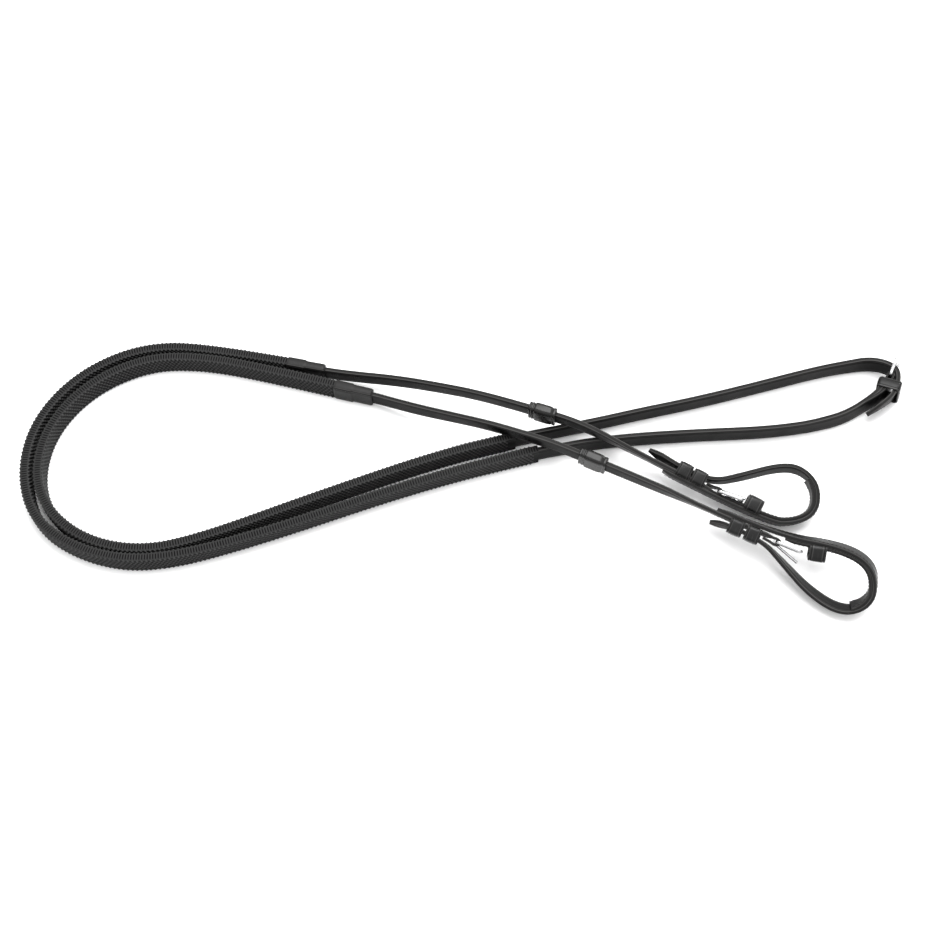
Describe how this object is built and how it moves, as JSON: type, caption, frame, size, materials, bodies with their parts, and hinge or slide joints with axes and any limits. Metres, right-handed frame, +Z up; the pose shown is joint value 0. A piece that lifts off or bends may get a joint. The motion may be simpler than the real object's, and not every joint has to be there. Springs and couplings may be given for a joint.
{
  "type": "leather riding reins",
  "caption": "Pair of leather riding reins laid out in a loop: rubber hand grips, sliding rein stops, buckled looped bit ends and a buckle joining the two hand straps.",
  "frame": {"origin": "middle of the laid-out reins on the table, halfway along both plan directions, with the table at Z = 0", "axes": "+X from the looped grips towards the centre buckle and bit ends, +Y towards the centre buckle's side and away from the bit ends, +Z up, along the width of the straps, which stand on their edges"},
  "size_m": [0.682, 0.2262, 0.0353],
  "materials": {
    "leather": "black bridle leather, semi-gloss with a waxed edge",
    "rubber_grip": "matt black moulded rubber with pimples and fine ribs",
    "rubber_stop": "glossy black rubber",
    "steel": "polished stainless steel"
  },
  "bodies": {
    "reins": {"near_hand_strap": "leather", "near_grip": "rubber_grip", "near_grip_end_cover": "leather", "near_front_strap": "leather", "near_bit_billet": "leather", "near_bit_liner": "leather", "near_bit_rear_keeper": "leather", "near_bit_middle_keeper": "leather", "near_bit_front_keeper": "leather", "off_hand_strap": "leather", "off_grip": "rubber_grip", "off_grip_end_cover": "leather", "off_front_strap": "leather", "off_bit_billet": "leather", "off_bit_liner": "leather", "off_bit_rear_keeper": "leather", "off_bit_middle_keeper": "leather", "off_bit_front_keeper": "leather", "centre_keeper": "leather"},
    "near_stop": {"near_rein_stop": "rubber_stop"},
    "near_bit_buckle": {"near_bit_buckle_frame": "steel"},
    "near_bit_tongue": {"near_bit_buckle_tongue": "steel"},
    "off_stop": {"off_rein_stop": "rubber_stop"},
    "off_bit_buckle": {"off_bit_buckle_frame": "steel"},
    "off_bit_tongue": {"off_bit_buckle_tongue": "steel"},
    "centre_buckle": {"centre_buckle_frame": "steel"},
    "centre_tongue": {"centre_buckle_tongue": "steel"}
  },
  "joints": [
    {"name": "near_stop_slide", "type": "slide", "parent": "reins", "child": "near_stop", "axis": [0.9418, -0.3345, 0.0341], "range_m": [-0.035, 0.001]},
    {"name": "off_stop_slide", "type": "slide", "parent": "reins", "child": "off_stop", "axis": [0.9086, -0.4169, -0.0254], "range_m": [-0.008, 0.04]},
    {"name": "near_bit_buckle_hinge", "type": "hinge", "parent": "reins", "child": "near_bit_buckle", "pos_m": [0.18808, -0.01655, 0.01226], "axis": [-0.0708, -0.3487, 0.9345], "range_deg": [-2, 22]},
    {"name": "near_bit_tongue_hinge", "type": "hinge", "parent": "near_bit_buckle", "child": "near_bit_tongue", "pos_m": [0.18808, -0.01655, 0.01226], "axis": [-0.0708, -0.3487, 0.9345], "range_deg": [0, 14]},
    {"name": "off_bit_buckle_hinge", "type": "hinge", "parent": "reins", "child": "off_bit_buckle", "pos_m": [0.22667, -0.06109, 0.01913], "axis": [0.1496, 0.3795, -0.913], "range_deg": [-8, 5]},
    {"name": "off_bit_tongue_hinge", "type": "hinge", "parent": "off_bit_buckle", "child": "off_bit_tongue", "pos_m": [0.22667, -0.06109, 0.01913], "axis": [0.1496, 0.3795, -0.913], "range_deg": [-14, 6]},
    {"name": "centre_buckle_hinge", "type": "hinge", "parent": "reins", "child": "centre_buckle", "pos_m": [0.3308, 0.0819, 0.01164], "axis": [-0.1429, 0.0636, 0.9877], "range_deg": [-1.5, 1.5]},
    {"name": "centre_tongue_hinge", "type": "hinge", "parent": "centre_buckle", "child": "centre_tongue", "pos_m": [0.3308, 0.0819, 0.01164], "axis": [0.1429, -0.0636, -0.9877], "range_deg": [0, 2]}
  ]
}
